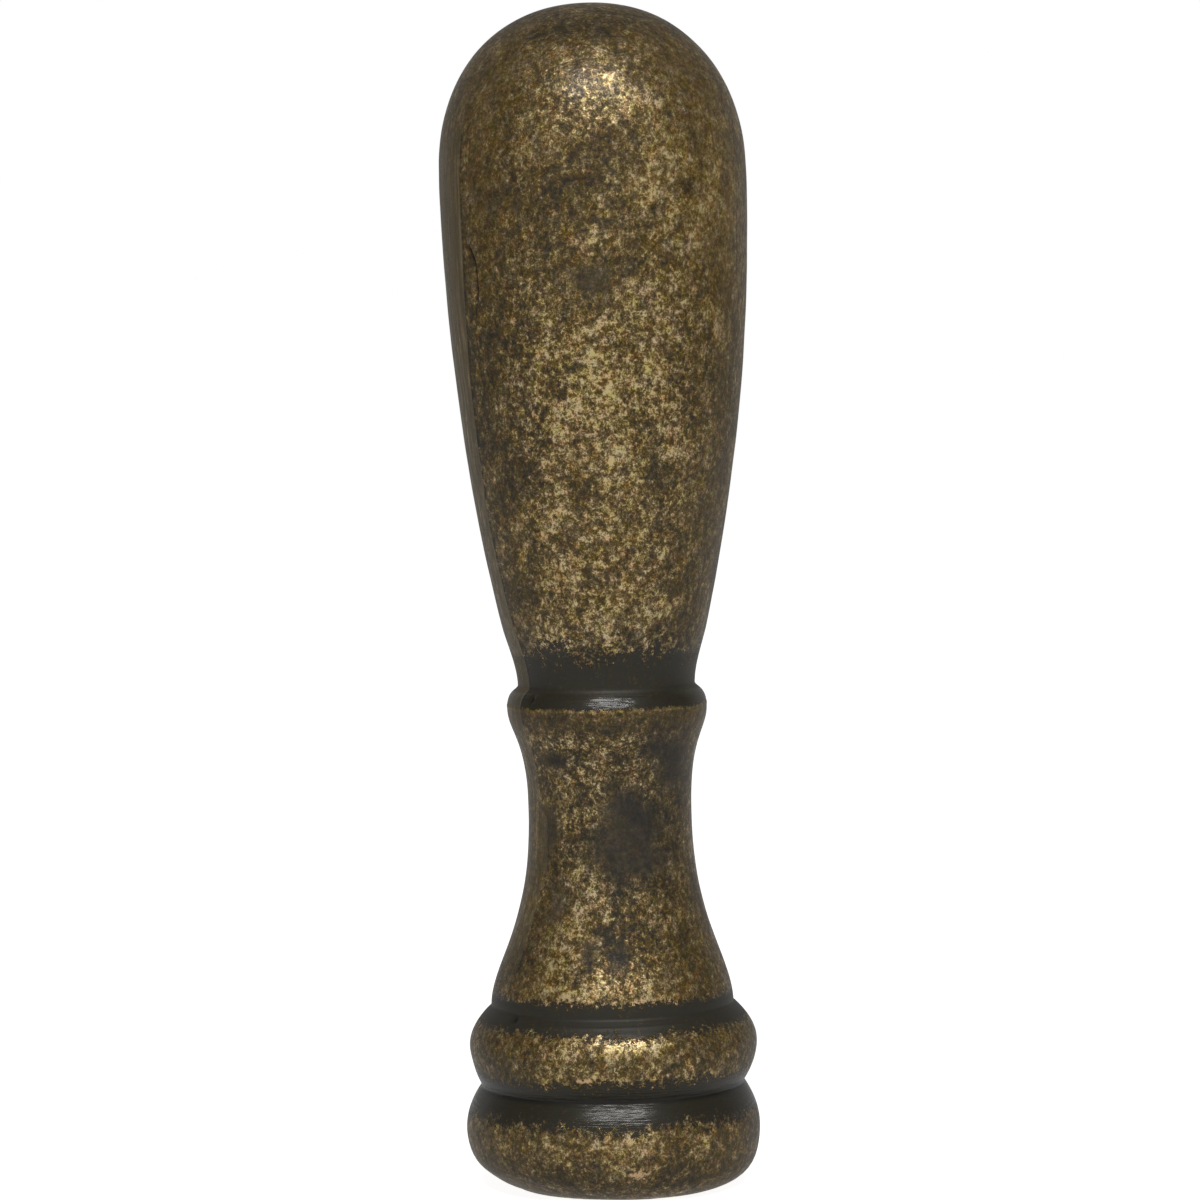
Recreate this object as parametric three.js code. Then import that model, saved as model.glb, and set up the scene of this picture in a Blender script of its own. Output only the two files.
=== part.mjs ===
// A turned and cast baluster finial: round foot, bead, bell, slim waist, collar and a tall domed body.
// Millimetres, +Z up. The origin is the centre of the flat underside, on the axis of the tapped hole.
import * as THREE from "three";

// Radii of the turning
const SEAT_EDGE_RADIUS = 5.2;
const FOOT_RADIUS = 8.0;
const LOWER_GROOVE_DEPTH = 0.86;
const BEAD_RADIUS = 7.81;
const UPPER_GROOVE_DEPTH = 1.24;
const WAIST_RADIUS = 4.42;
const COLLAR_PROJECTION = 0.99;
const NECK_RADIUS = 4.8;
const BODY_RADIUS = 8.27;

// Heights of the bands, stacked from the seat upwards
const FOOT_BELLY_HEIGHT = 3.1;
const FOOT_SHOULDER_HEIGHT = 2.42;
const BEAD_UNDERSIDE_HEIGHT = 2.03;
const BEAD_TOP_HEIGHT = 2.27;
const BELL_HEIGHT = 10.63;
const STEM_HEIGHT = 5.56;
const COLLAR_SHOULDER_HEIGHT = 1.42;
const BODY_HEIGHT = 27.41;
const DOME_HEIGHT = 9.16;

// Shape of the free curves
const BELL_SHOULDER_REACH = 2.36;
const WAIST_REACH_DOWN = 6.76;
const WAIST_REACH_UP = 3.93;
const COLLAR_REACH_DOWN = 1.34;
const COLLAR_REACH_UP = 1.18;
const NECK_FILLET_REACH = 0.53;
const DOME_FULLNESS = 2.18;

// Tapped hole for a quarter-inch stud, drilled plain at the thread's outer diameter
const THREAD_DIAMETER = 6.35;
const HOLE_DEPTH = 10.0;
const HOLE_MOUTH_CHAMFER = 0.4;
const DRILL_POINT_ANGLE = 118;

// Fineness of the facets
const FACETS_ROUND = 60;
const STEPS = { foot: 8, shoulder: 5, bead: 5, bell: 14, stem: 9, collar: 7, body: 9, dome: 12 };

const point = (radius, height) => new THREE.Vector2(radius, height);

// Heights where the bands meet, from the seat up to the apex
function levels() {
  const belly = FOOT_BELLY_HEIGHT;
  const lowerGroove = belly + FOOT_SHOULDER_HEIGHT;
  const bead = lowerGroove + BEAD_UNDERSIDE_HEIGHT;
  const upperGroove = bead + BEAD_TOP_HEIGHT;
  const waist = upperGroove + BELL_HEIGHT;
  const collar = waist + STEM_HEIGHT;
  const neck = collar + COLLAR_SHOULDER_HEIGHT;
  const widest = neck + BODY_HEIGHT;
  return { belly, lowerGroove, bead, upperGroove, waist, collar, neck, widest, apex: widest + DOME_HEIGHT };
}

// Blind hole, from its drill point on the axis down to the chamfered mouth in the seat
function holeOutline() {
  const radius = THREAD_DIAMETER / 2;
  const halfPoint = THREE.MathUtils.degToRad(DRILL_POINT_ANGLE / 2);
  return [
    point(0, HOLE_DEPTH + radius / Math.tan(halfPoint)),
    point(radius, HOLE_DEPTH),
    point(radius, HOLE_MOUTH_CHAMFER),
    point(radius + HOLE_MOUTH_CHAMFER, 0),
  ];
}

// Round band that bulges from one edge and stands upright at its widest place
function bulge(from, to) {
  const widest = Math.max(from.x, to.x);
  return new THREE.QuadraticBezierCurve(from, point(widest, (from.y + to.y) / 2), to);
}

// Quarter-round of the foot, from the edge of the flat seat to the widest place of the foot
function footRound(level) {
  const width = FOOT_RADIUS - SEAT_EDGE_RADIUS;
  return new THREE.EllipseCurve(SEAT_EDGE_RADIUS, level.belly, width, level.belly, -Math.PI / 2, 0);
}

// Bell that curves in to the waist, then the stem that flares out to the collar
function stemCurves(level, grooveRadius, collarRadius) {
  const bell = new THREE.CubicBezierCurve(
    point(grooveRadius, level.upperGroove),
    point(grooveRadius, level.upperGroove + BELL_SHOULDER_REACH),
    point(WAIST_RADIUS, level.waist - WAIST_REACH_DOWN),
    point(WAIST_RADIUS, level.waist),
  );
  const stem = new THREE.CubicBezierCurve(
    point(WAIST_RADIUS, level.waist),
    point(WAIST_RADIUS, level.waist + WAIST_REACH_UP),
    point(collarRadius, level.collar - COLLAR_REACH_DOWN),
    point(collarRadius, level.collar),
  );
  return { bell, stem };
}

// Body side: one arc that stands upright at the widest place and leans in down to the neck
function bodyArc(level) {
  const taper = BODY_RADIUS - NECK_RADIUS;
  const arcRadius = (BODY_HEIGHT ** 2 + taper ** 2) / (2 * taper);
  const startAngle = -Math.asin(BODY_HEIGHT / arcRadius);
  return new THREE.EllipseCurve(BODY_RADIUS - arcRadius, level.widest, arcRadius, arcRadius, startAngle, 0);
}

// Collar shoulder: from the collar's widest place in to the neck, with a fillet against the body
function collarShoulder(level, collarRadius, side) {
  const lean = side.getTangent(0).multiplyScalar(NECK_FILLET_REACH);
  const neck = point(NECK_RADIUS, level.neck);
  const inner = neck.clone().sub(lean);
  return new THREE.CubicBezierCurve(
    point(collarRadius, level.collar),
    point(collarRadius, level.collar + COLLAR_REACH_UP),
    inner,
    neck,
  );
}

// Dome: a quarter of a superellipse, a little fuller than an ellipse, closed on the axis
function domeOutline(level) {
  const power = 2 / DOME_FULLNESS;
  const outline = [];
  for (let step = 1; step < STEPS.dome; step += 1) {
    const angle = (Math.PI / 2) * (step / STEPS.dome);
    const radius = BODY_RADIUS * Math.cos(angle) ** power;
    outline.push(point(radius, level.widest + DOME_HEIGHT * Math.sin(angle) ** power));
  }
  outline.push(point(0, level.apex));
  return outline;
}

// Whole half section, from the drill point round the outside to the apex
function sectionOutline() {
  const level = levels();
  const collarRadius = WAIST_RADIUS + COLLAR_PROJECTION;
  const lowerGroove = point(FOOT_RADIUS - LOWER_GROOVE_DEPTH, level.lowerGroove);
  const upperGroove = point(BEAD_RADIUS - UPPER_GROOVE_DEPTH, level.upperGroove);
  const bead = point(BEAD_RADIUS, level.bead);
  const { bell, stem } = stemCurves(level, upperGroove.x, collarRadius);
  const side = bodyArc(level);
  const bands = [
    [footRound(level), STEPS.foot],
    [bulge(point(FOOT_RADIUS, level.belly), lowerGroove), STEPS.shoulder],
    [bulge(lowerGroove, bead), STEPS.bead],
    [bulge(bead, upperGroove), STEPS.bead],
    [bell, STEPS.bell],
    [stem, STEPS.stem],
    [collarShoulder(level, collarRadius, side), STEPS.collar],
    [side, STEPS.body],
  ];
  const outline = holeOutline();
  outline.push(point(SEAT_EDGE_RADIUS, 0));
  for (const [curve, steps] of bands) {
    outline.push(...curve.getPoints(steps).slice(1));
  }
  return outline.concat(domeOutline(level));
}

// Cast zinc, brass plated and antiqued: dull gold relief over brown recesses
function antiqueBrass() {
  return new THREE.MeshStandardMaterial({ color: 0x8a7043, roughness: 0.42, metalness: 1.0 });
}

function makeFinial() {
  const geometry = new THREE.LatheGeometry(sectionOutline(), FACETS_ROUND);
  geometry.rotateX(Math.PI / 2);
  const finial = new THREE.Mesh(geometry, antiqueBrass());
  finial.name = "finial";
  return finial;
}

const model = new THREE.Group();
model.add(makeFinial());

export default model;
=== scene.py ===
"""Looks of a cast baluster finial: its fine casting, antique brass finish, studio and camera.

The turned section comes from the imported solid. On it go the marks of a small die casting: the ground
strips where the halves of the mould met, a crack, pits, a worn arris and a slightly uneven skin. Angles
are degrees to the right of the front, as the camera sees it, and heights are millimetres above the seat.
"""

import logging
import math
from collections import defaultdict
from dataclasses import dataclass, field
from enum import Enum

import bpy
import numpy as np
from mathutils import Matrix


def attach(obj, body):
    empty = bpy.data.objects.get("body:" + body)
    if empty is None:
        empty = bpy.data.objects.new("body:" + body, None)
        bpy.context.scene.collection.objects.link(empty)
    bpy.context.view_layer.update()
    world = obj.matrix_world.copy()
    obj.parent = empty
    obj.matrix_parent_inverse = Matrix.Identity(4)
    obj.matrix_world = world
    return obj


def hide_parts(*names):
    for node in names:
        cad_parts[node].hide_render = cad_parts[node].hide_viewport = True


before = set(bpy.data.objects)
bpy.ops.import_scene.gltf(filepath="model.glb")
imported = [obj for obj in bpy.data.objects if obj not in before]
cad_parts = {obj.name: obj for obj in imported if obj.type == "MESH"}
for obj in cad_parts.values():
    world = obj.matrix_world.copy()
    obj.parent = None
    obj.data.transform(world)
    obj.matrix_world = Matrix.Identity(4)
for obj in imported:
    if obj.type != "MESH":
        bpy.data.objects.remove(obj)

LOG = logging.getLogger("finial")
MM = 0.001
PHOTO_SIDE = 1200
# A place nearer to the axis than this is measured as if it stood this far from it.
AXIS_RADIUS = 0.3


class Mark(Enum):
    """Names of the painted point attributes that the finish reads."""

    RECESS = "recess"
    # Rubbed brass, and also painted light: the front's reflection, highlights on the dome and bead, and a
    # brighter back.
    RUB = "rub_and_light"
    GROUND = "ground"
    # Dirt in the crack and pits, and painted shade in the foot's groove and along the strip's step.
    DIRT = "dirt_and_shade"
    COPPER = "copper"
    DULL = "dull"
    CRISP = "crisp"
    VIVID = "vivid"


def linear(colour: str) -> tuple[float, float, float, float]:
    """Turn an sRGB hex colour to linear light.

    Args:
        colour: Six hex digits, such as "967d4b".

    Returns:
        Red, green, blue and a full alpha.
    """
    channels = [int(colour[start:start + 2], 16) / 255 for start in (0, 2, 4)]
    light = [c / 12.92 if c <= 0.04045 else ((c + 0.055) / 1.055) ** 2.4 for c in channels]
    return light[0], light[1], light[2], 1.0


def smooth_step(value: np.ndarray, low: float, high: float) -> np.ndarray:
    """Rise smoothly from 0 at low to 1 at high.

    Args:
        value: Numbers to map.
        low: Value that gives 0.
        high: Value that gives 1.

    Returns:
        The mapped numbers.
    """
    share = np.clip((value - low) / (high - low), 0.0, 1.0)
    return share * share * (3 - 2 * share)


def add(tree: bpy.types.NodeTree, kind: str, links: dict | None = None,
        stops: list[tuple[float, tuple[float, ...]]] | None = None, **settings: object) -> bpy.types.Node:
    """Add a node with its settings, input values and links.

    Args:
        tree: Node tree that takes the node.
        kind: Blender's name of the node's type, without its prefix.
        links: Input name or number to a value, or to the node or output socket that feeds it.
        stops: Position from 0 to 1 and linear colour of each stop, in order, where the node has a ramp.
        **settings: Properties of the node itself.

    Returns:
        The new node.
    """
    node = tree.nodes.new("ShaderNode" + kind)
    for name, value in settings.items():
        setattr(node, name, value)
    for socket, source in (links or {}).items():
        if isinstance(source, bpy.types.Node):
            tree.links.new(source.outputs[0], node.inputs[socket])
        elif isinstance(source, bpy.types.NodeSocket):
            tree.links.new(source, node.inputs[socket])
        else:
            node.inputs[socket].default_value = source
    if stops:
        elements = node.color_ramp.elements
        while len(elements) < len(stops):
            elements.new(1.0)
        for element, (position, colour) in zip(elements, stops):
            element.position = position
            element.color = colour
    return node


def only(piece: bpy.types.Object) -> None:
    """Make a piece the only selected and the active object.

    Args:
        piece: The object to select.
    """
    bpy.ops.object.select_all(action="DESELECT")
    piece.select_set(True)
    bpy.context.view_layer.objects.active = piece


@dataclass
class TurnedSection:
    """Half section of the turning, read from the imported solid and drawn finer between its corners."""

    node: bpy.types.Object
    coarse_step: float = 0.31
    fine_step: float = 0.13
    finest_step: float = 0.07
    hole_step: float = 0.155
    fine_bands: tuple[tuple[float, float], ...] = ((4.0, 11.2), (25.2, 28.6), (47.0, 51.2))
    finest_bands: tuple[tuple[float, float], ...] = ((9.25, 9.65), (25.95, 26.5))
    hole_top: float = 10.05
    hole_radius: float = 3.6
    corner_angle: float = 22.0

    def facet_corners(self) -> np.ndarray:
        """Walk the solid's own half section, from the top of the dome down to the drill point.

        Returns:
            Radius and height of each corner in millimetres, in order.
        """
        near = 1e-7
        places = {}
        for vertex in self.node.data.vertices:
            if abs(vertex.co.y) < near and vertex.co.x > -near:
                places[vertex.index] = (round(vertex.co.x / MM, 4), round(vertex.co.z / MM, 4))
        neighbours = defaultdict(set)
        for edge in self.node.data.edges:
            ends = [places.get(index) for index in edge.vertices]
            if None not in ends and ends[0] != ends[1]:
                neighbours[ends[0]].add(ends[1])
                neighbours[ends[1]].add(ends[0])
        here = max(neighbours, key=lambda place: place[1])
        walk = [here]
        while fresh := [place for place in neighbours[here] if place not in walk]:
            here = fresh[0]
            walk.append(here)
        return np.array(walk)

    def step_at(self, radius: float, height: float) -> float:
        """Give the ring spacing wanted at a place on the section.

        Args:
            radius: Distance from the axis in millimetres.
            height: Height above the seat in millimetres.

        Returns:
            The spacing in millimetres.
        """
        if height < self.hole_top and radius < self.hole_radius:
            return self.hole_step
        if any(low < height < high for low, high in self.finest_bands):
            return self.finest_step
        if any(low < height < high for low, high in self.fine_bands):
            return self.fine_step
        return self.coarse_step

    def smooth_run(self, run: np.ndarray) -> np.ndarray:
        """Draw one run between two corners as a smooth curve through its points.

        Args:
            run: Radius and height of the run's points.

        Returns:
            The same run with rings at the wanted spacing, both ends kept.
        """
        along = np.r_[0.0, np.cumsum(np.hypot(*np.diff(run, axis=0).T))]
        slope = np.gradient(run, along, axis=0, edge_order=1 if len(run) < 3 else 2)
        places = [0.0]
        while places[-1] < along[-1]:
            here = [np.interp(places[-1], along, run[:, axis]) for axis in (0, 1)]
            places.append(places[-1] + self.step_at(*here))
        places = np.array(places) * along[-1] / places[-1]
        span = np.clip(np.searchsorted(along, places, side="right") - 1, 0, len(run) - 2)
        width = (along[span + 1] - along[span])[:, None]
        t = (places[:, None] - along[span][:, None]) / width
        curve = (
            (1 + 2 * t) * (1 - t) ** 2 * run[span]
            + t * (1 - t) ** 2 * width * slope[span]
            + t ** 2 * (3 - 2 * t) * run[span + 1]
            + t ** 2 * (t - 1) * width * slope[span + 1]
        )
        return np.maximum(curve, 0.0)

    def rings(self) -> np.ndarray:
        """Draw the whole section finely, with its true corners kept.

        Returns:
            Radius and height of each ring in millimetres, from the dome down into the hole.
        """
        corners = self.facet_corners()
        ways = np.diff(corners, axis=0)
        heading = np.unwrap(np.arctan2(ways[:, 1], ways[:, 0]))
        sharp = np.flatnonzero(np.abs(np.diff(heading)) > math.radians(self.corner_angle)) + 1
        stops = [0, *sharp.tolist(), len(corners) - 1]
        runs = [self.smooth_run(corners[a:b + 1]) for a, b in zip(stops, stops[1:])]
        return np.concatenate([runs[0], *[run[1:] for run in runs[1:]]])


@dataclass
class Surface:
    """The casting's points as angle, height and radius, so that marks can be worked into them."""

    piece: bpy.types.Object
    hole_radius: float = 3.6
    hole_height: float = 13.0
    seat_skin: float = 0.02
    points: np.ndarray = field(init=False)
    normals: np.ndarray = field(init=False)
    angle: np.ndarray = field(init=False)
    height: np.ndarray = field(init=False)
    radius: np.ndarray = field(init=False)
    outside: np.ndarray = field(init=False)

    def __post_init__(self) -> None:
        """Read the mesh's points, in millimetres."""
        mesh = self.piece.data
        self.points = self.read("co", mesh.vertices) / MM
        self.normals = self.read("normal", mesh.vertices)
        self.angle = np.degrees(np.arctan2(self.points[:, 0], -self.points[:, 1]))
        self.height = self.points[:, 2].copy()
        self.radius = np.hypot(self.points[:, 0], self.points[:, 1])
        deep = (self.radius < self.hole_radius) & (self.height < self.hole_height)
        self.outside = (~deep & (self.height > self.seat_skin)).astype(float)

    @staticmethod
    def read(name: str, vertices: bpy.types.MeshVertices) -> np.ndarray:
        """Read one vector of every vertex.

        Args:
            name: The vertex property, "co" or "normal".
            vertices: The mesh's vertices.

        Returns:
            One row for each vertex.
        """
        values = np.zeros(len(vertices) * 3)
        vertices.foreach_get(name, values)
        return values.reshape(-1, 3)

    def across(self, angle: float, height: float) -> tuple[np.ndarray, np.ndarray]:
        """Measure from a place on the surface.

        Args:
            angle: Degrees to the right of the front.
            height: Millimetres above the seat.

        Returns:
            Millimetres to the right of the place and above it, for every point.
        """
        turn = (self.angle - angle + 180.0) % 360.0 - 180.0
        return np.radians(turn) * np.maximum(self.radius, AXIS_RADIUS), self.height - height

    def press(self, amount: np.ndarray) -> None:
        """Move the outside's points along their normals.

        Args:
            amount: Millimetres outwards for each point.
        """
        self.points += self.normals * (amount * self.outside)[:, None]

    def paint(self, mark: Mark, values: np.ndarray) -> None:
        """Keep a painted mask as a point attribute.

        Args:
            mark: Which mask it is.
            values: One number for each point.
        """
        attribute = self.piece.data.attributes.new(mark.value, "FLOAT", "POINT")
        attribute.data.foreach_set("value", values.astype(np.float32))

    def store(self) -> None:
        """Write the moved points back to the mesh."""
        self.piece.data.vertices.foreach_set("co", (self.points * MM).ravel())
        self.piece.data.update()


@dataclass(frozen=True)
class Blotch:
    """A soft oval place on the surface, such as a rubbed patch, a stain, a pit or a patch of painted light
    or shade.
    """

    angle: float
    height: float
    half_width: float
    half_height: float
    amount: float

    def over(self, surface: Surface) -> np.ndarray:
        """Spread the blotch over the surface.

        Args:
            surface: The casting's points.

        Returns:
            The amount at each point, full in the middle.
        """
        right, up = surface.across(self.angle, self.height)
        return self.amount * np.exp(-((right / self.half_width) ** 2) - (up / self.half_height) ** 2)


def blotches(*rows: tuple[float, float, float, float, float]) -> tuple[Blotch, ...]:
    """Make blotches from rows of their angle, height, half width, half height and amount.

    Args:
        *rows: One row for each blotch.

    Returns:
        The blotches, in the same order.
    """
    return tuple(Blotch(*row) for row in rows)


@dataclass(frozen=True)
class RingLine:
    """A fine line right round the turning, such as a worn arris, a painted glint or painted shade in a
    corner.
    """

    height: float
    half_width: float
    amount: float

    def over(self, surface: Surface) -> np.ndarray:
        """Draw the line round the surface.

        Args:
            surface: The casting's points.

        Returns:
            The amount on the line, fading to 0 beside it.
        """
        return self.amount * np.exp(-(((surface.height - self.height) / self.half_width) ** 2))


@dataclass(frozen=True)
class DarkBand:
    """A recess that the relieving wheel never reached, so that its black stain is left."""

    bottom: float
    top: float
    bottom_fade: float
    top_fade: float

    def depth(self, surface: Surface) -> np.ndarray:
        """Measure how far inside the band each point lies.

        Args:
            surface: The casting's points.

        Returns:
            Depth inside the nearest edge, in units of that edge's fade, below 0 outside.
        """
        from_bottom = (surface.height - self.bottom) / self.bottom_fade
        from_top = (self.top - surface.height) / self.top_fade
        return np.minimum(from_bottom, from_top)


@dataclass(frozen=True)
class GroundStrip:
    """One side where the mould's flash was ground off along the length, a little below the cast skin."""

    centre: float
    border: tuple[tuple[float, float], ...]
    edge: float
    burr: float
    step: float = 0.05
    burr_width: float = 0.12
    body_share: float = 1.0
    stem_share: float = 0.5
    top_end: tuple[float, float] = (61.0, 52.0)
    bottom_end: tuple[float, float] = (10.6, 14.0)
    body_rise: tuple[float, float] = (24.5, 31.0)

    def inside(self, surface: Surface) -> np.ndarray:
        """Measure how far inside the strip each point lies.

        Args:
            surface: The casting's points.

        Returns:
            Millimetres inside the strip's nearer edge, below 0 outside it.
        """
        turn = (surface.angle - self.centre + 180.0) % 360.0 - 180.0
        heights, half_angles = zip(*self.border)
        half = np.interp(surface.height, heights, half_angles)
        return np.radians(half - np.abs(turn)) * np.maximum(surface.radius, AXIS_RADIUS)

    def share(self, surface: Surface) -> np.ndarray:
        """Give how plainly the grinding shows at each height.

        Args:
            surface: The casting's points.

        Returns:
            0 on the dome and the foot to the full share on the body.
        """
        ends = smooth_step(surface.height, *self.top_end) * smooth_step(surface.height, *self.bottom_end)
        rise = smooth_step(surface.height, *self.body_rise)
        return ends * (self.stem_share + (self.body_share - self.stem_share) * rise)

    def cover(self, surface: Surface) -> np.ndarray:
        """Give the share of each point that is ground.

        Args:
            surface: The casting's points.

        Returns:
            0 on the cast skin to 1 on the ground strip.
        """
        return smooth_step(self.inside(surface), -self.edge / 2, self.edge / 2) * self.share(surface)

    def relief(self, surface: Surface) -> np.ndarray:
        """Work out how the skin stands above the strip, with a fine burr along the strip's edge.

        Args:
            surface: The casting's points.

        Returns:
            Millimetres inwards on the strip, outwards on its burr.
        """
        ridge = np.exp(-((self.inside(surface) / self.burr_width) ** 2)) * self.share(surface)
        return self.burr * ridge - self.step * self.cover(surface)


@dataclass
class FinialCasting:
    """The whole casting, as fine as the photo shows it."""

    solid: str = "finial"
    name: str = "finial_casting"
    body: str = "root"
    slot: str = "antique_brass"
    segments: int = 240
    crowding: float = 2.6
    crowded_angles: tuple[float, ...] = (-56.0,)
    crowd_width: float = 9.0
    weld: float = 0.002
    waviness: float = 0.05
    wave_length: float = 3.2
    left_strip: GroundStrip = GroundStrip(
        centre=-90.0,
        border=(
            (10.0, 30.0), (14.0, 33.0), (16.6, 36.0), (17.7, 41.5), (19.8, 39.5), (21.4, 32.0), (27.2, 31.0),
            (29.4, 31.5), (32.1, 28.0), (34.2, 27.0), (36.4, 26.5), (44.0, 28.5), (50.8, 31.5), (60.0, 33.0),
        ),
        edge=0.14,
        burr=0.03,
    )
    right_strip: GroundStrip = GroundStrip(
        centre=90.0, border=((12.0, 30.0), (30.0, 34.0), (45.0, 38.0), (60.0, 34.0)), edge=1.6, burr=0.0,
        body_share=0.2, stem_share=0.15,
    )
    thread_pitch: float = 25.4 / 27
    thread_depth: float = 0.5
    thread_flank: float = 1.15
    thread_wall: tuple[float, float] = (3.0, 3.3)
    thread_run_in: tuple[float, float] = (0.4, 1.2)
    thread_run_out: tuple[float, float] = (10.0, 9.4)
    skin_rise: tuple[float, float] = (0.3, 2.5)
    skin_levels: int = 10
    waist_shift: float = 0.15
    waist_height: float = 20.0
    waist_reach: float = 9.0
    true_foot: tuple[float, float] = (0.0, 6.0)
    top_shift: float = -0.20
    top_rise: tuple[float, float] = (42.0, 64.0)
    front_angle: float = 5.0
    front_fade: tuple[float, float] = (60.0, 25.0)
    groove_line: RingLine = RingLine(9.45, 0.06, 0.02)
    lip_ridge: RingLine = RingLine(26.16, 0.09, 0.02)
    # Worn arris on the lip, with a painted glint that is stronger at the front.
    lip_rub_and_glint: RingLine = RingLine(26.14, 0.09, 1.0)
    lip_rub_and_glint_shares: tuple[float, float] = (0.5, 1.1)
    below_lip: RingLine = RingLine(25.6, 0.45, -0.4)
    # Painted shade: a dark line along the bottom of the groove between the bead and the foot.
    groove_painted_shade: RingLine = RingLine(5.53, 0.14, 0.9)
    dark_bands: tuple[DarkBand, ...] = (
        DarkBand(26.22, 29.65, 0.10, 0.80),
        DarkBand(8.92, 10.66, 0.30, 0.22),
        DarkBand(3.88, 6.62, 0.50, 0.38),
    )
    crack: tuple[tuple[float, float], ...] = (
        (-54.0, 50.9), (-52.3, 50.5), (-51.0, 50.1), (-50.7, 49.4), (-50.6, 48.6), (-51.2, 48.1),
        (-53.0, 47.4),
    )
    crack_radius: float = 8.1
    crack_depth: float = 0.16
    crack_width: float = 0.1
    crack_dirt: float = 0.85
    crack_dirt_width: float = 0.12
    # Dark line just outside the left strip's edge: patina gathered along the step, with painted shade of the
    # step.
    strip_dirt_and_shade: float = 0.45
    strip_dirt_and_shade_width: float = 0.11
    strip_dirt_and_shade_gap: float = 0.13
    strip_dirt_and_shade_rise: tuple[float, float] = (27.5, 33.0)
    pits: tuple[Blotch, ...] = blotches(
        (-50.0, 9.63, 0.24, 0.16, -0.12), (-49.0, 26.70, 0.14, 0.16, -0.12),
        (37.0, 53.74, 0.32, 0.34, -0.05), (22.5, 52.57, 0.26, 0.30, -0.04),
        (-37.5, 23.55, 0.55, 0.16, -0.06), (3.5, 59.95, 0.20, 0.12, -0.05),
    )
    # Brighter places. Most are rubbed brass; some are painted light: the front of the body, lighter where
    # the floor's light is reflected, the highlights on the dome at 60.4 mm and on the bead at 8.75 mm, and
    # the back at 176 and 168 degrees, lightened where the soft box does not reach.
    rubbed_and_lit: tuple[Blotch, ...] = blotches(
        (2.0, 43.8, 3.6, 4.4, 1.2), (-14.0, 45.5, 2.0, 3.2, 0.8), (-4.0, 37.0, 3.6, 4.5, 0.75),
        (-4.0, 33.0, 3.8, 3.0, 0.3), (0.0, 30.6, 3.8, 1.7, 0.3), (25.0, 41.5, 2.5, 5.0, 0.4),
        (36.0, 51.5, 3.0, 4.6, 0.6), (58.0, 50.0, 3.8, 7.0, 1.0), (46.0, 57.0, 3.6, 3.0, 0.8),
        (18.0, 56.5, 2.4, 3.5, 0.4), (-55.0, 55.0, 4.5, 5.5, 0.7), (-14.0, 57.0, 3.0, 3.0, 0.3),
        (-20.0, 50.5, 3.0, 4.0, 0.3), (3.0, 58.6, 4.0, 2.2, 0.3), (-2.0, 60.4, 2.2, 0.9, 0.7),
        (-8.0, 24.5, 2.2, 1.2, 0.2), (-27.0, 13.8, 2.2, 2.8, 1.0), (-33.0, 11.9, 1.6, 1.2, 0.5),
        (-21.0, 14.2, 0.5, 1.5, 0.5), (14.0, 13.0, 0.4, 1.6, 0.5), (-12.0, 20.9, 1.0, 2.4, 0.6),
        (24.0, 13.6, 2.4, 3.0, 0.6), (0.0, 11.3, 5.5, 0.7, 0.6), (-4.0, 8.3, 4.6, 0.6, 0.5),
        (2.0, 8.75, 3.2, 0.32, 0.9), (-24.0, 8.0, 2.4, 1.0, 0.5), (-10.0, 7.0, 3.0, 0.4, 0.9),
        (0.0, 3.5, 4.5, 0.6, 0.55), (-14.0, 3.0, 3.0, 1.0, 0.8), (28.0, 3.0, 2.6, 1.2, 1.1),
        (-50.0, 2.8, 3.4, 1.3, 0.45), (-35.0, 19.0, 3.0, 5.0, 0.3), (-77.0, 3.3, 1.2, 0.8, 0.6),
        (176.0, 44.0, 7.0, 11.0, 0.5), (168.0, 14.0, 5.0, 4.0, 0.4),
    )
    swells: tuple[Blotch, ...] = blotches(
        (75.0, 12.5, 6.0, 3.5, 0.08), (75.0, 8.3, 6.0, 1.5, 0.10), (-75.0, 6.8, 5.0, 0.9, -0.09),
        (3.0, 26.70, 3.4, 0.32, -0.10), (3.0, 5.75, 3.6, 0.7, -0.10), (65.0, 1.0, 6.5, 1.1, 0.26),
        (-60.0, 0.5, 6.0, 0.7, -0.18),
    )
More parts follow.
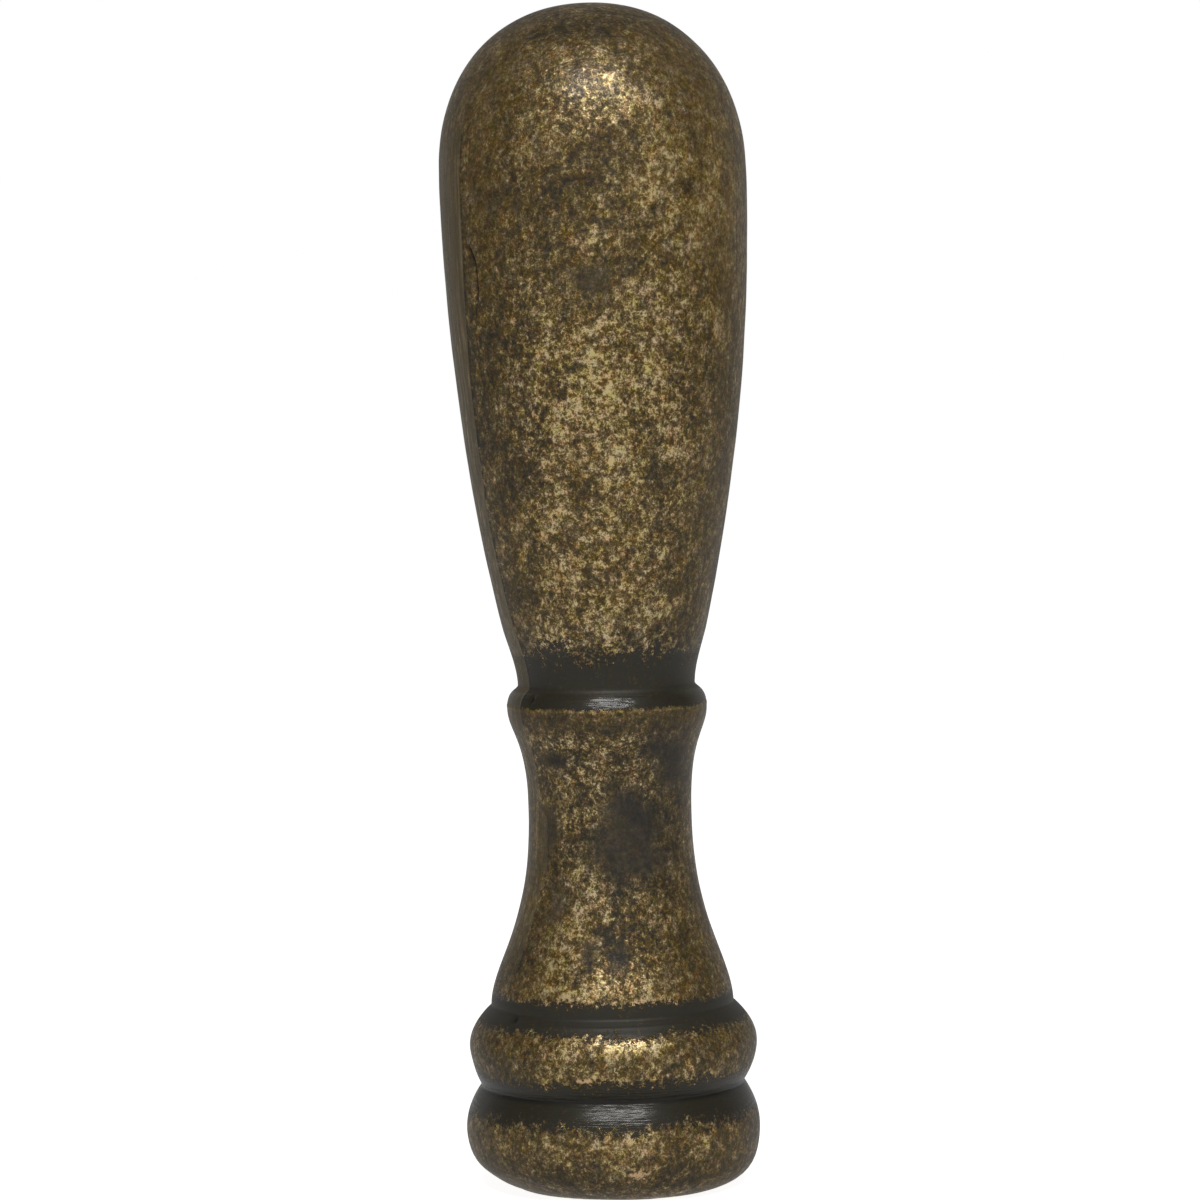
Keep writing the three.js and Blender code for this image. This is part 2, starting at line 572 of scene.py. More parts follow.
    # Duller places; the wide one round the foot's lower edge, at 5 degrees and 1.3 mm, is painted shade.
    duller_and_shaded: tuple[Blotch, ...] = blotches(
        (-36.0, 19.3, 0.8, 1.2, 0.6), (34.0, 21.0, 3.0, 3.8, 0.4), (35.0, 14.0, 2.6, 3.4, 0.4),
        (4.0, 14.6, 1.4, 2.0, 0.5), (-13.0, 13.1, 0.55, 1.1, 0.9), (0.0, 23.6, 5.0, 1.6, 0.1),
        (20.0, 22.5, 2.0, 2.4, 0.5), (-20.0, 24.8, 1.0, 0.8, 0.5), (4.0, 12.7, 0.7, 1.0, 0.9),
        (5.0, 1.3, 9.0, 0.9, 0.8), (70.0, 1.6, 5.0, 1.6, 0.5), (-9.0, 16.8, 2.2, 1.3, 0.7),
        (4.0, 49.2, 4.0, 1.6, 0.5), (-37.0, 54.3, 2.4, 2.0, 0.6), (-4.0, 54.3, 1.8, 1.0, 0.6),
        (-43.0, 43.0, 1.8, 6.0, 0.5), (50.0, 41.0, 2.0, 6.0, 0.3), (2.0, 62.5, 3.5, 1.5, 0.4),
    )
    stain_patches: tuple[Blotch, ...] = blotches(
        (10.0, 21.0, 0.9, 0.8, 1.3), (19.0, 19.9, 1.6, 0.9, 1.2), (6.0, 19.0, 1.5, 0.7, 1.2),
        (17.0, 18.0, 1.9, 0.8, 1.2), (48.0, 23.2, 1.1, 1.6, 1.1), (30.0, 24.2, 0.7, 0.7, 0.8),
        (-39.0, 23.5, 0.8, 0.35, 1.2), (-47.0, 19.5, 0.6, 1.1, 1.0), (-37.0, 15.6, 0.7, 1.2, 0.7),
        (-12.5, 13.2, 0.45, 0.9, 0.9), (4.0, 13.0, 0.5, 0.7, 0.8), (-38.0, 53.6, 1.4, 1.0, 0.3),
        (-2.0, 48.9, 1.2, 0.9, 0.7),
    )
    patch_fall: float = 1.75
    patch_softness: float = 0.7
    patch_greyness: float = 0.2
    ground_cover: float = 0.82
    recess_limit: float = 3.0
    recess_ground_off: float = 0.8
    foot_dullness: float = 0.12
    foot_dull_top: tuple[float, float] = (7.0, 6.0)
    dull_bands: tuple[DarkBand, ...] = (DarkBand(26.9, 29.2, 0.16, 0.3), DarkBand(8.9, 10.6, 0.3, 0.2))
    # The dip to 0.78 at 60.4 mm evens the flecks inside the dome's painted highlight.
    crispness: tuple[tuple[float, float], ...] = (
        (0.0, 0.85), (8.0, 1.0), (14.0, 1.12), (24.6, 1.2), (25.3, 0.75), (26.1, 0.75), (26.5, 1.1),
        (30.0, 1.02), (37.0, 1.04), (42.0, 1.18), (46.0, 1.14), (51.0, 0.93), (58.0, 0.88),
        (60.4, 0.78), (62.5, 0.85),
    )
    side_softness: float = 0.25
    side_fade: tuple[float, float] = (28.0, 48.0)
    vividness: tuple[tuple[float, float], ...] = (
        (0.0, 0.94), (14.0, 0.96), (17.0, 0.92), (25.0, 0.92), (26.5, 0.96), (28.3, 0.94),
        (29.3, 0.86), (31.5, 0.96), (50.0, 0.97), (56.0, 0.95), (59.5, 0.92), (64.0, 0.88),
    )
    copper_chips: tuple[Blotch, ...] = blotches(
        (10.0, 1.76, 0.62, 0.30, 1.5), (-8.0, 57.5, 0.25, 0.30, 0.8), (-12.0, 6.76, 0.60, 0.14, 1.4),
    )

    def turn(self, rings: np.ndarray) -> bpy.types.Object:
        """Turn the casting: extrude the half section ring by ring and spin it round the axis.

        Args:
            rings: Radius and height of each ring in millimetres, in order.

        Returns:
            The closed turned mesh.
        """
        bpy.ops.object.select_all(action="DESELECT")
        bpy.ops.mesh.primitive_plane_add(size=MM, location=(0, 0, 0))
        piece = bpy.context.object
        piece.name = piece.data.name = self.name
        bpy.ops.object.mode_set(mode="EDIT")
        bpy.ops.mesh.select_all(action="SELECT")
        bpy.ops.mesh.merge(type="CENTER")
        places = np.c_[rings[:, 0], np.zeros(len(rings)), rings[:, 1]] * MM
        bpy.ops.transform.translate(value=places[0].tolist())
        for move in np.diff(places, axis=0):
            bpy.ops.mesh.extrude_region_move(TRANSFORM_OT_translate={"value": move.tolist()})
        bpy.ops.mesh.select_all(action="SELECT")
        bpy.ops.mesh.spin(steps=self.segments, angle=math.tau, center=(0, 0, 0), axis=(0, 0, 1))
        bpy.ops.mesh.select_all(action="SELECT")
        bpy.ops.mesh.remove_doubles(threshold=self.weld * MM)
        bpy.ops.mesh.normals_make_consistent(inside=False)
        bpy.ops.object.mode_set(mode="OBJECT")
        bpy.ops.object.shade_smooth()
        return piece

    def crowd(self, piece: bpy.types.Object) -> None:
        """Slide the points round the axis, so that they stand closer where the fine marks run.

        Args:
            piece: The turned mesh.
        """
        degrees = np.linspace(-180.0, 180.0, 3601)
        density = np.ones_like(degrees)
        for centre in self.crowded_angles:
            density += self.crowding * np.exp(-(((degrees - centre) / self.crowd_width) ** 2))
        travelled = np.r_[0.0, np.cumsum((density[1:] + density[:-1]) / 2)]
        travelled = travelled / travelled[-1] * 360.0 - 180.0
        surface = Surface(piece)
        moved = np.radians(np.interp(surface.angle, travelled, degrees))
        surface.points[:, 0] = surface.radius * np.sin(moved)
        surface.points[:, 1] = -surface.radius * np.cos(moved)
        surface.store()

    def cut_thread(self, piece: bpy.types.Object) -> None:
        """Raise the helical thread on the wall of the blind hole.

        Args:
            piece: The turned mesh.
        """
        surface = Surface(piece)
        wall = surface.radius.copy()
        narrowest, widest = self.thread_wall
        bottom, top = self.thread_run_in[0], self.thread_run_out[0]
        inside = (wall > narrowest) & (wall < widest) & (surface.height > bottom) & (surface.height < top)
        phase = (surface.height / self.thread_pitch - surface.angle / 360.0) % 1.0
        ridge = np.clip(self.thread_flank * (1.0 - np.abs(2.0 * phase - 1.0)), 0.0, 1.0)
        ends = smooth_step(surface.height, *self.thread_run_in)
        ends = ends * smooth_step(surface.height, *self.thread_run_out)
        share = 1.0 - inside * self.thread_depth * ridge * ends / np.maximum(wall, 1.0)
        surface.points[:, :2] *= share[:, None]
        surface.store()

    def make_uneven(self, piece: bpy.types.Object) -> None:
        """Give the cast skin its faint waviness, with the seat and the hole left true.

        Args:
            piece: The turned mesh.
        """
        surface = Surface(piece)
        skin = surface.outside * smooth_step(surface.height, *self.skin_rise)
        group = piece.vertex_groups.new(name="skin")
        for level in range(1, self.skin_levels + 1):
            members = np.flatnonzero(np.round(skin * self.skin_levels) == level)
            group.add(members.tolist(), level / self.skin_levels, "REPLACE")
        texture = bpy.data.textures.new("cast_waviness", "CLOUDS")
        texture.noise_scale = self.wave_length * MM
        texture.noise_depth = 1
        wave = piece.modifiers.new("waviness", "DISPLACE")
        wave.texture = texture
        wave.texture_coords = "LOCAL"
        wave.vertex_group = group.name
        wave.mid_level = 0.5
        wave.strength = self.waviness * MM
        only(piece)
        bpy.ops.object.modifier_apply(modifier=wave.name)
        piece.vertex_groups.clear()

    def crack_line(self, surface: Surface) -> np.ndarray:
        """Measure each point's distance from the crack.

        Args:
            surface: The casting's points.

        Returns:
            Millimetres from the crack's line.
        """
        nearest = np.full(len(surface.points), 1e3)
        for (angle, height), (next_angle, next_height) in zip(self.crack, self.crack[1:]):
            right, up = surface.across(angle, height)
            length_right = math.radians(next_angle - angle) * self.crack_radius
            length_up = next_height - height
            share = (right * length_right + up * length_up) / (length_right ** 2 + length_up ** 2)
            share = np.clip(share, 0.0, 1.0)
            gap = np.hypot(right - share * length_right, up - share * length_up)
            nearest = np.minimum(nearest, gap)
        return nearest

    def front(self, surface: Surface) -> np.ndarray:
        """Give the share of the front, where the painted glint on the lip and the fine lines are plainest.

        Args:
            surface: The casting's points.

        Returns:
            1 at the front, fading to 0 at the sides.
        """
        return smooth_step(np.abs(surface.angle - self.front_angle), *self.front_fade)

    def work_marks(self, piece: bpy.types.Object) -> None:
        """Work the ground strips, crack, pits and fine lines into the skin, and paint the masks.

        Args:
            piece: The turned mesh.
        """
        surface = Surface(piece)
        gap = self.crack_line(surface)
        cut = self.crack_depth * np.exp(-((gap / self.crack_width) ** 2))
        lines = self.groove_line.over(surface) * self.front(surface) + self.lip_ridge.over(surface)
        dents = sum(pit.over(surface) for pit in self.pits + self.swells)
        skin = self.left_strip.step * self.left_strip.share(surface)
        strips = self.left_strip.relief(surface) + self.right_strip.relief(surface)
        surface.press(skin + strips - cut + lines + dents)
        self.paint_masks(surface, gap)
        waist = np.exp(-(((surface.height - self.waist_height) / self.waist_reach) ** 2))
        waist = waist * smooth_step(surface.height, *self.true_foot)
        top = smooth_step(surface.height, *self.top_rise)
        surface.points[:, 0] += self.waist_shift * waist + self.top_shift * top
        surface.points[:, 2] = np.maximum(surface.points[:, 2], 0.0)
        surface.store()

    def paint_masks(self, surface: Surface, gap: np.ndarray) -> None:
        """Paint where the stain is left, where the brass is rubbed bright or lit by painted light, where it
        is ground, and the dirt and painted shade.

        Args:
            surface: The casting's points.
            gap: Millimetres from the crack for each point.
        """
        recess = np.max([band.depth(surface) for band in self.dark_bands], axis=0)
        patch = np.clip(sum(patch.over(surface) for patch in self.stain_patches), 0.0, 1.0)
        left = self.left_strip.cover(surface)
        edge = self.left_strip.inside(surface) + self.strip_dirt_and_shade_gap
        beside = np.exp(-((edge / self.strip_dirt_and_shade_width) ** 2)) * self.left_strip.share(surface)
        dirt_and_shade = self.crack_dirt * np.exp(-((gap / self.crack_dirt_width) ** 2))
        dirt_and_shade += sum(np.abs(pit.over(surface)) / abs(pit.amount) for pit in self.pits)
        # Patina and painted shade along the left strip's step.
        dirt_and_shade += self.strip_dirt_and_shade * beside * smooth_step(surface.height, *self.strip_dirt_and_shade_rise)
        # Painted shade in the foot's groove.
        dirt_and_shade += self.groove_painted_shade.over(surface)
        dull = np.max([band.depth(surface) for band in self.dull_bands], axis=0)
        # Rubbing mixed with painted light: lighter where reflections and highlights are painted, darker
        # where shade is painted.
        rub_and_light = sum(blotch.over(surface) for blotch in self.rubbed_and_lit)
        rub_and_light = rub_and_light - sum(blotch.over(surface) for blotch in self.duller_and_shaded)
        recess = np.clip(recess, -self.recess_limit, self.recess_limit) * surface.outside
        surface.paint(Mark.RECESS, recess * (1.0 - self.recess_ground_off * left))
        # The lip's worn arris, with a painted glint added at the front.
        all_round, in_front = self.lip_rub_and_glint_shares
        rub_and_light = rub_and_light + (all_round + in_front * self.front(surface)) * self.lip_rub_and_glint.over(surface)
        rub_and_light = rub_and_light + self.below_lip.over(surface)
        surface.paint(Mark.RUB, rub_and_light - self.patch_fall * patch)
        surface.paint(Mark.GROUND, self.ground_cover * left + self.right_strip.cover(surface))
        surface.paint(Mark.DIRT, np.clip(dirt_and_shade, 0.0, 1.0))
        least_dull = self.foot_dullness * smooth_step(surface.height, *self.foot_dull_top)
        surface.paint(Mark.DULL, np.clip(dull, least_dull, 1.0))
        surface.paint(Mark.COPPER, sum(chip.over(surface) for chip in self.copper_chips))
        sides = 1.0 - self.side_softness * smooth_step(np.abs(surface.angle), *self.side_fade)
        crisp = np.interp(surface.height, *zip(*self.crispness)) * sides
        surface.paint(Mark.CRISP, crisp * (1.0 - self.patch_softness * patch))
        vivid = np.interp(surface.height, *zip(*self.vividness))
        surface.paint(Mark.VIVID, vivid * (1.0 - self.patch_greyness * patch))

    def make(self) -> bpy.types.Object:
        """Make the casting and let it stand for the solid.

        Returns:
            The finished casting.
        """
        section = TurnedSection(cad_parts[self.solid])
        piece = self.turn(section.rings())
        self.crowd(piece)
        self.cut_thread(piece)
        self.make_uneven(piece)
        self.work_marks(piece)
        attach(piece, self.body)
        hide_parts(self.solid)
        return piece


@dataclass(frozen=True)
class Pattern:
    """A cloudy pattern laid through the metal, with its features' sizes in millimetres."""

    across: float
    along: float
    detail: float = 2.0
    roughness: float = 0.5
    gain: float = 0.0
    relief: float = 0.0
    coat_relief: float = 0.0


@dataclass(frozen=True)
class AntiqueBrass:
    """Brass plate on a zinc casting, stained black-brown, relieved on a wheel and lacquered.

    To the eye it is a dark satin skin with short bright flecks where the brass shows through: dense
    where the wheel pressed and where light is painted in, gone in the recesses, and drawn into streaks
    along the ground sides. The lacquer over it throws back small pale highlights. Dirt and painted shade
    darken the crack, the pits, the foot's groove and the strip's edge.
    """

    tones: tuple[tuple[float, str], ...] = (
        (-4.2, "353329"), (-3.0, "433a2b"), (-2.0, "534728"), (-1.15, "635330"), (-0.5, "73613c"),
        (0.0, "84714a"), (0.5, "97835b"), (1.15, "b39d70"), (1.9, "d8c294"), (2.6, "fae8be"),
    )
    tone_span: float = 4.5
    ground: str = "7a6c4c"
    ground_share: float = 0.5
    copper: str = "f6cf9e"
    # Colour of the dirt and of the painted shade.
    dirt_and_shade: str = "15120d"
    tints: tuple[tuple[float, str], ...] = ((0.36, "f4f5d5"), (0.5, "fbf6eb"), (0.64, "fbe7db"))
    typical_rub_and_light: float = -1.12
    stroke_gain: float = 1.15
    stroke_width: float = 0.033
    stain_fall: float = -3.6
    stain_ragged: float = -5.4
    stain_clumps: float = 3.0
    stain_border: float = -1.0
    whole_depth: float = 1.3
    whole_stain: float = 1.5
    ground_level: float = -1.0
    ground_gain: float = 16.0
    vivid_rub_and_light: float = 0.05
    vivid_gains: tuple[tuple[str, float], ...] = (("tinge", 0.76), ("clump", 0.14), ("knot", 0.2))
    chip_ragged: float = 5.0
    chip_edge: tuple[float, float] = (0.6, 1.1)
    chip_share: float = 0.85
    stain_level: float = -1.5
    stain_metallic: float = 0.05
    stain_roughness: float = 0.5
    stain_specular: float = 0.2
    metallic: float = 0.6
    roughness: float = 0.38
    skin_coat: float = 0.28
    coat_weight: float = 0.6
    coat_roughness: float = 0.15
    dull_roughness: float = 0.55
    grain_kept: tuple[float, float] = (1.0, 0.15)
    brush_kept: tuple[float, float] = (0.3, 1.0)
    dull_brush: float = 0.25
    # Flecks are 0.15 to 0.4 mm across, in knots of 0.9 mm and clumps of 2 to 3 mm. The wheel's fine
    # marks are drawn 0.14 mm apart, coarser than real ones, so that they show.
    patterns: tuple[tuple[str, Pattern], ...] = (
        ("fleck", Pattern(0.34, 0.36, detail=3.0, roughness=0.88, gain=16.8, relief=0.05, coat_relief=0.03)),
        ("stroke", Pattern(0.24, 0.30, detail=1.0, roughness=0.5)),
        ("knot", Pattern(0.85, 0.95, detail=1.0, roughness=0.6, gain=4.5)),
        ("clump", Pattern(2.3, 2.8, detail=1.0, roughness=0.7, gain=5.0, relief=0.05, coat_relief=0.03)),
        ("hue", Pattern(0.5, 0.55, detail=2.0, roughness=0.8)),
        ("tinge", Pattern(0.62, 0.7, detail=2.0, roughness=0.8)),
        ("streak", Pattern(0.24, 7.0, detail=3.0, roughness=0.7)),
        ("brush", Pattern(1.8, 0.14, detail=2.0, roughness=0.6, relief=0.03, coat_relief=0.038)),
    )

    def make(self) -> bpy.types.Material:
        """Build the finish.

        Returns:
            The material.
        """
        material = bpy.data.materials.new("antique_brass_plate_relieved_and_lacquered")
        material.use_nodes = True
        tree = material.node_tree
        tree.nodes.clear()
        masks = {mark: add(tree, "Attribute", attribute_name=mark.value).outputs["Fac"] for mark in Mark}
        grain = self.grain(tree)
        stained = self.stained(tree, masks, grain)
        level = self.level(tree, masks, grain, stained)
        metal = add(tree, "MapRange", {
            "Value": level, "From Min": self.stain_level, "From Max": 1.2,
            "To Min": self.stain_metallic, "To Max": self.metallic})
        rough = add(tree, "MapRange", {
            "Value": level, "From Min": self.stain_level, "From Max": 1.0,
            "To Min": self.stain_roughness, "To Max": self.roughness})
        coat = add(tree, "MapRange", {
            "Value": stained, "From Max": 1.0, "To Min": self.skin_coat, "To Max": self.coat_weight})
        gloss = add(tree, "MapRange", {
            "Value": masks[Mark.DULL], "To Min": self.coat_roughness, "To Max": self.dull_roughness})
        reliefs = {name: pattern.relief for name, pattern in self.patterns}
        coat_reliefs = {name: pattern.coat_relief for name, pattern in self.patterns}
        shader = add(tree, "BsdfPrincipled", {
            "Base Color": self.colour(tree, masks, grain, level), "Metallic": metal, "Roughness": rough,
            "Normal": self.bump(tree, masks, grain, stained, reliefs),
            "Specular IOR Level": self.stain_specular, "Coat Weight": coat, "Coat Roughness": gloss,
            "Coat Normal": self.bump(tree, masks, grain, stained, coat_reliefs),
        })
        add(tree, "OutputMaterial", {"Surface": shader})
        return material

    def grain(self, tree: bpy.types.NodeTree) -> dict[str, bpy.types.NodeSocket]:
        """Lay the cloudy patterns that the finish is mixed from.

        Args:
            tree: The material's nodes.

        Returns:
            Pattern name to its factor, 0.5 on average.
        """
        place = add(tree, "TexCoord").outputs["Object"]
        grain = {}
        for name, pattern in self.patterns:
            scale = (1 / (pattern.across * MM), 1 / (pattern.across * MM), 1 / (pattern.along * MM))
            scaled = add(tree, "Mapping", {"Vector": place, "Scale": scale})
            grain[name] = add(tree, "TexNoise", {
                "Vector": scaled, "Scale": 1.0, "Detail": pattern.detail,
                "Roughness": pattern.roughness}).outputs["Fac"]
        return grain

    def stained(self, tree: bpy.types.NodeTree, masks: dict[Mark, bpy.types.NodeSocket],
                grain: dict[str, bpy.types.NodeSocket]) -> bpy.types.Node:
        """Work out how much of the black stain is left in the recesses, worn off in flecks at the border.

        Args:
            tree: The material's nodes.
            masks: The painted masks.
            grain: The patterns.

        Returns:
            0 on the relieved skin to 1.5 deep in a recess.
        """
        depth = masks[Mark.RECESS]
        for name, gain in (("fleck", self.stain_ragged), ("clump", self.stain_clumps)):
            depth = add(tree, "Math", {0: grain[name], 1: gain, 2: depth}, operation="MULTIPLY_ADD")
        middle = 0.5 * (self.stain_ragged + self.stain_clumps)
        depth = add(tree, "Math", {0: depth, 1: middle}, operation="SUBTRACT")
        inside = add(tree, "Math", {0: masks[Mark.RECESS], 1: self.stain_border}, operation="GREATER_THAN")
        depth = add(tree, "Math", {0: depth, 1: inside}, operation="MULTIPLY")
        return add(tree, "MapRange", {
            "Value": depth, "From Max": self.whole_depth, "To Max": self.whole_stain})

    def level(self, tree: bpy.types.NodeTree, masks: dict[Mark, bpy.types.NodeSocket],
              grain: dict[str, bpy.types.NodeSocket], stained: bpy.types.Node) -> bpy.types.NodeSocket:
        """Work out how far the finish is rubbed through or brightened by painted light, in standard
        deviations of its flecks.

        Args:
            tree: The material's nodes.
            masks: The painted masks.
            grain: The patterns.
            stained: How much of the stain is left.

        Returns:
            About -4 where the stain is whole, 0 half way, 2 where the brass is bare.
        """
        line = add(tree, "Math", {0: grain["stroke"], 1: 0.5, 2: self.stroke_width}, operation="COMPARE")
        flecks = add(tree, "Math", {
            0: line, 1: self.stroke_gain, 2: -0.5 * sum(pattern.gain for _, pattern in self.patterns),
        }, operation="MULTIPLY_ADD")
        for name, pattern in self.patterns:
            if pattern.gain:
                flecks = add(tree, "Math", {
                    0: grain[name], 1: pattern.gain, 2: flecks}, operation="MULTIPLY_ADD")
        # The rub mask holds painted light as well as rubbing.
        typical = add(tree, "Math", {0: masks[Mark.RUB], 1: self.typical_rub_and_light})
        level = add(tree, "Math", {0: flecks, 1: masks[Mark.CRISP], 2: typical}, operation="MULTIPLY_ADD")
        level = add(tree, "Math", {0: stained, 1: self.stain_fall, 2: level}, operation="MULTIPLY_ADD")
        streaks = add(tree, "Math", {
            0: grain["streak"], 1: self.ground_gain, 2: self.ground_level - self.ground_gain / 2,
        }, operation="MULTIPLY_ADD")
        return add(tree, "Mix", {0: masks[Mark.GROUND], 2: level, 3: streaks}).outputs[0]

    def colour(self, tree: bpy.types.NodeTree, masks: dict[Mark, bpy.types.NodeSocket],
               grain: dict[str, bpy.types.NodeSocket], level: bpy.types.NodeSocket) -> bpy.types.NodeSocket:
        """Colour the finish from the black stain up to the bright brass, and lay the marks and the painted
        shade over it.

        Args:
            tree: The material's nodes.
            masks: The painted masks.
            grain: The patterns.
            level: How far the finish is rubbed through.

        Returns:
            The colour's socket.
        """
        span = self.tone_span
        place = add(tree, "MapRange", {"Value": level, "From Min": -span, "From Max": span})
        tone = add(tree, "ValToRGB", {"Fac": place}, stops=[
            ((tone_level + span) / (2 * span), linear(hue)) for tone_level, hue in self.tones])
        tint = add(tree, "ValToRGB", {"Fac": grain["hue"]}, stops=[
            (factor, linear(hue)) for factor, hue in self.tints])
        colour = add(tree, "Mix", {0: 1.0, 6: tone, 7: tint}, data_type="RGBA",
                     blend_type="MULTIPLY").outputs[2]
        vivid = add(tree, "Math", {
            0: masks[Mark.RUB], 1: self.vivid_rub_and_light, 2: masks[Mark.VIVID]}, operation="MULTIPLY_ADD")
        for name, gain in self.vivid_gains:
            vivid = add(tree, "Math", {0: grain[name], 1: gain, 2: vivid}, operation="MULTIPLY_ADD")
        middle = 0.5 * sum(gain for _, gain in self.vivid_gains)
        vivid = add(tree, "Math", {0: vivid, 1: middle}, operation="SUBTRACT")
        colour = add(tree, "HueSaturation", {"Color": colour, "Saturation": vivid}).outputs["Color"]
        ground = add(tree, "Math", {0: masks[Mark.GROUND], 1: self.ground_share}, operation="MULTIPLY")
        ragged = add(tree, "Math", {
            0: grain["fleck"], 1: self.chip_ragged, 2: 1.0 - 0.5 * self.chip_ragged,
        }, operation="MULTIPLY_ADD")
        chip = add(tree, "Math", {0: ragged, 1: masks[Mark.COPPER]}, operation="MULTIPLY")
        low, high = self.chip_edge
        chip = add(tree, "MapRange", {
            "Value": chip, "From Min": low, "From Max": high, "To Max": self.chip_share})
        # The last mix lays the dirt and the painted shade.
        for share, hue in ((ground, self.ground), (chip, self.copper), (masks[Mark.DIRT], self.dirt_and_shade)):
            colour = add(tree, "Mix", {0: share, 6: colour, 7: linear(hue)}, data_type="RGBA").outputs[2]
        return colour

    def bump(self, tree: bpy.types.NodeTree, masks: dict[Mark, bpy.types.NodeSocket],
             grain: dict[str, bpy.types.NodeSocket], stained: bpy.types.Node,
             reliefs: dict[str, float]) -> bpy.types.NodeSocket:
        """Raise the patterns a few hundredths of a millimetre, as the grain of the lacquered skin.

        Args:
            tree: The material's nodes.
            masks: The painted masks.
            grain: The patterns.
            stained: How much of the stain is left, which fills the grain and keeps the brush's marks.
            reliefs: Pattern name to its full height in millimetres.

        Returns:
            The bumped normal.
        """
        height = 0.0
        for name, amount in reliefs.items():
            if amount:
                bare, filled = self.brush_kept if name == "brush" else self.grain_kept
                share = add(tree, "MapRange", {
                    "Value": stained, "From Max": 1.0, "To Min": bare * amount, "To Max": filled * amount})
                if name == "brush":
                    plain = add(tree, "MapRange", {
                        "Value": masks[Mark.DULL], "To Min": 1.0, "To Max": self.dull_brush})
                    share = add(tree, "Math", {0: share, 1: plain}, operation="MULTIPLY")
                height = add(tree, "Math", {0: grain[name], 1: share, 2: height}, operation="MULTIPLY_ADD")
        return add(tree, "Bump", {"Height": height, "Distance": MM, "Strength": 1.0}).outputs["Normal"]


@dataclass(frozen=True)
class Camera:
    """The photo's viewpoint: a long lens a little above the finial, looking slightly down."""

    distance: float = 227.5
    aim_height: float = 31.8
    look_down: float = 3.26
    roll: float = -1.15
    side_step: float = -0.163
    sensor: float = 36.0
    pixels_per_mm: float = 18.42

    def make(self) -> bpy.types.Object:
        """Place the camera.

        Returns:
            The camera.
        """
        down = math.radians(self.look_down)
        aim = np.array([self.side_step, 0.0, self.aim_height])
        back = np.array([0.0, -math.cos(down), math.sin(down)]) * self.distance
        bpy.ops.object.camera_add(location=((aim + back) * MM).tolist())
        camera = bpy.context.object
        camera.name = "photo_camera"
        camera.rotation_mode = "ZYX"
        camera.rotation_euler = (math.pi / 2 - down, 0.0, math.radians(self.roll))
        camera.data.sensor_width = self.sensor
        camera.data.lens = self.sensor * self.distance * self.pixels_per_mm / PHOTO_SIDE
        camera.data.clip_start = 0.01
        camera.data.clip_end = 10.0
        bpy.context.scene.camera = camera
        return camera


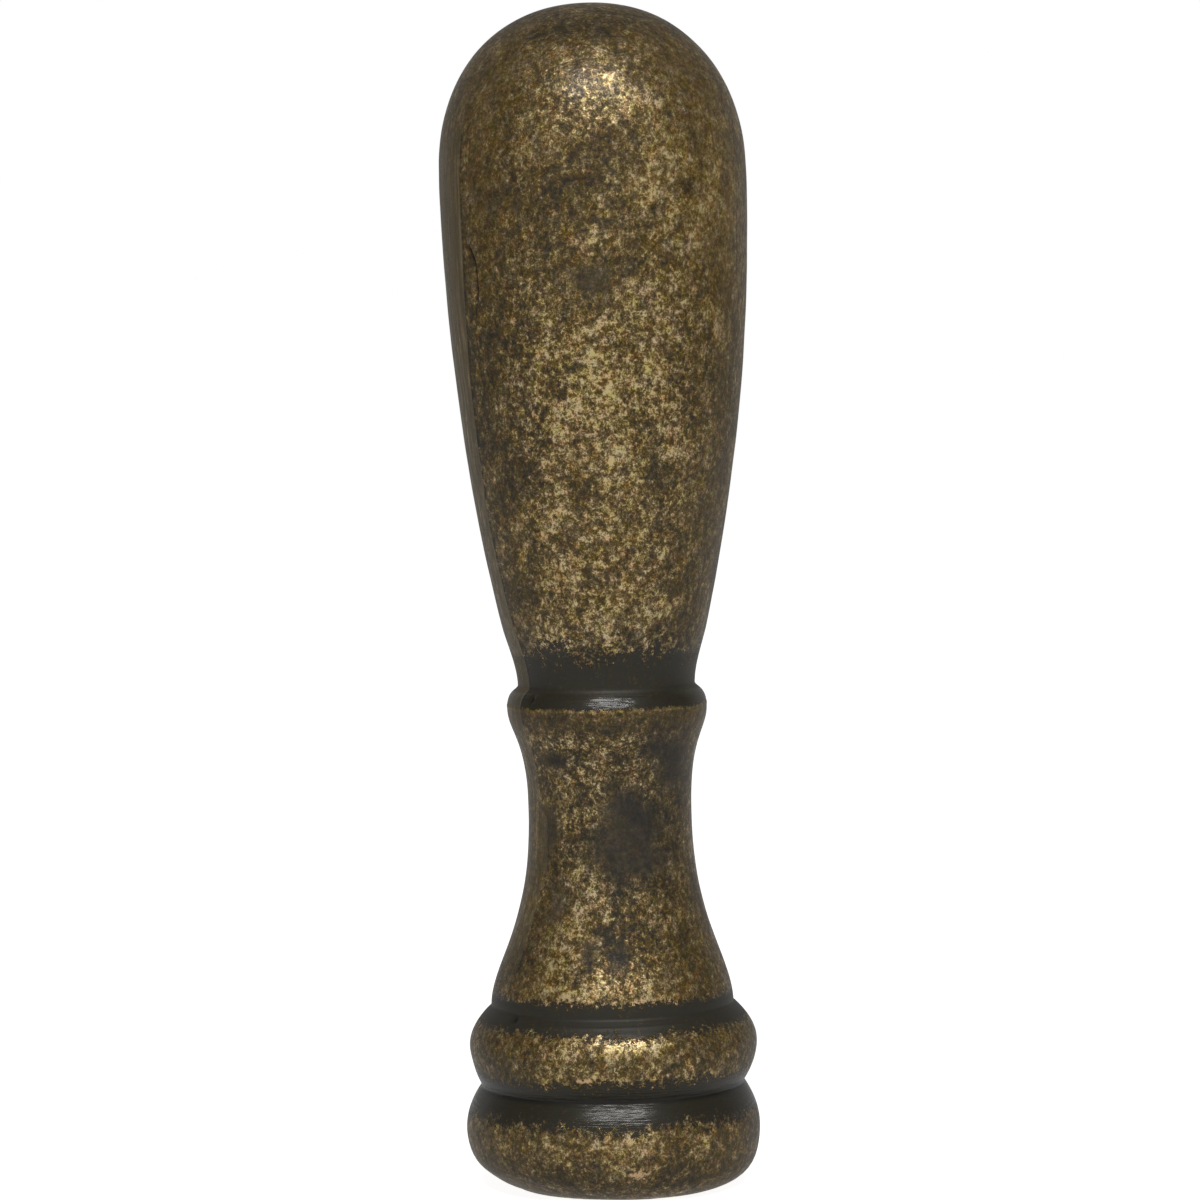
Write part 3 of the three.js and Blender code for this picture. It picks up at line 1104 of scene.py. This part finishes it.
@dataclass(frozen=True)
class Studio:
    """Plain white sweep with one soft box overhead in front, a weak fill and dark sides."""

    sheet_corners: int = 96
    floor_radius: float = 900.0
    floor_height: float = -0.02
    floor_level: float = 0.9
    bounce_radius: float = 260.0
    bounce_height: float = -0.04
    bounce_level: float = 0.36
    box_elevation: float = 51.0
    box_azimuth: float = 5.0
    box_distance: float = 520.0
    box_aim: float = 40.0
    box_width: float = 350.0
    box_height: float = 90.0
    box_power: float = 1.35
    side_level: float = 0.10
    front_level: float = 0.34
    back_level: float = 0.3
    ceiling_share: float = 0.6
    ceiling_rise: tuple[float, float] = (0.15, 0.6)

    def make(self) -> None:
        """Build floor, lights and surroundings."""
        self.make_floor()
        self.make_bounce()
        self.make_soft_box()
        self.make_surroundings()
        bpy.context.scene.view_settings.view_transform = "Standard"
        bpy.context.scene.view_settings.look = "None"

    def disc(self, name: str, radius: float, height: float, level: float) -> bpy.types.Object:
        """Lay a flat round sheet of paper that glows evenly.

        Args:
            name: The sheet's name.
            radius: Its radius in millimetres.
            height: Its height in millimetres.
            level: How bright it is, 1 being white.

        Returns:
            The sheet.
        """
        bpy.ops.object.select_all(action="DESELECT")
        bpy.ops.mesh.primitive_circle_add(
            vertices=self.sheet_corners, radius=radius * MM, fill_type="NGON", location=(0, 0, height * MM))
        sheet = bpy.context.object
        sheet.name = sheet.data.name = name
        paper = bpy.data.materials.new(name + "_paper")
        paper.use_nodes = True
        paper.node_tree.nodes.clear()
        shader = add(paper.node_tree, "BsdfPrincipled", {
            "Base Color": linear("f2f2f2"), "Roughness": 0.9,
            "Emission Color": linear("ffffff"), "Emission Strength": level,
        })
        add(paper.node_tree, "OutputMaterial", {"Surface": shader})
        sheet.data.materials.append(paper)
        return sheet

    def make_floor(self) -> None:
        """Lay the pale floor that the camera sees."""
        floor = self.disc("floor", self.floor_radius, self.floor_height, self.floor_level)
        floor.visible_glossy = False
        floor.visible_diffuse = False

    def make_bounce(self) -> None:
        """Lay the sheet that throws light back on the finial from below, unseen by the camera."""
        bounce = self.disc("bounce", self.bounce_radius, self.bounce_height, self.bounce_level)
        bounce.visible_camera = False

    def make_soft_box(self) -> None:
        """Hang the wide soft box in front and overhead."""
        up, side = math.radians(self.box_elevation), math.radians(self.box_azimuth)
        way = np.array([math.sin(side) * math.cos(up), -math.cos(side) * math.cos(up), math.sin(up)])
        place = way * self.box_distance + np.array([0.0, 0.0, self.box_aim])
        bpy.ops.object.light_add(type="AREA", location=(place * MM).tolist())
        lamp = bpy.context.object
        lamp.name = "soft_box"
        lamp.data.shape = "RECTANGLE"
        lamp.data.size = self.box_width * MM
        lamp.data.size_y = self.box_height * MM
        lamp.data.energy = self.box_power
        lamp.rotation_euler = (math.pi / 2 - up, 0.0, side)

    def make_surroundings(self) -> None:
        """Light the room: white behind, dark at the sides and above, half bright in front."""
        world = bpy.data.worlds.new("studio")
        bpy.context.scene.world = world
        world.use_nodes = True
        tree = world.node_tree
        tree.nodes.clear()
        way = add(tree, "SeparateXYZ", {0: add(tree, "TexCoord").outputs["Generated"]})
        depth = add(tree, "MapRange", {"Value": way.outputs["Y"], "From Min": -1.0, "From Max": 1.0})
        stops = ((0.0, self.front_level), (0.14, self.front_level), (0.36, self.side_level),
                 (0.66, self.side_level), (0.86, self.back_level))
        levels = add(tree, "ValToRGB", {"Fac": depth}, stops=[
            (position, (level, level, level, 1.0)) for position, level in stops])
        low, high = self.ceiling_rise
        ceiling = add(tree, "MapRange", {
            "Value": way.outputs["Z"], "From Min": low, "From Max": high,
            "To Min": 1.0, "To Max": self.ceiling_share})
        dimmed = add(tree, "Mix", {0: 1.0, 6: levels, 7: ceiling}, data_type="RGBA", blend_type="MULTIPLY")
        seen = add(tree, "LightPath").outputs["Is Camera Ray"]
        shade = add(tree, "Mix", {0: seen, 6: dimmed.outputs[2], 7: (1.0, 1.0, 1.0, 1.0)}, data_type="RGBA")
        light = add(tree, "Background", {"Color": shade.outputs[2], "Strength": 1.0})
        add(tree, "OutputWorld", {"Surface": light})


def main() -> None:
    """Build the casting, the studio and the camera."""
    logging.basicConfig(level=logging.INFO, format="%(name)s: %(message)s")
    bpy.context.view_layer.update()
    casting = FinialCasting().make()
    casting.data.materials.append(AntiqueBrass().make())
    LOG.info("%s has %d faces", casting.name, len(casting.data.polygons))
    Studio().make()
    camera = Camera().make()
    LOG.info("%s at %s", camera.name, [round(value, 4) for value in camera.location])


if __name__ == "__main__":
    main()
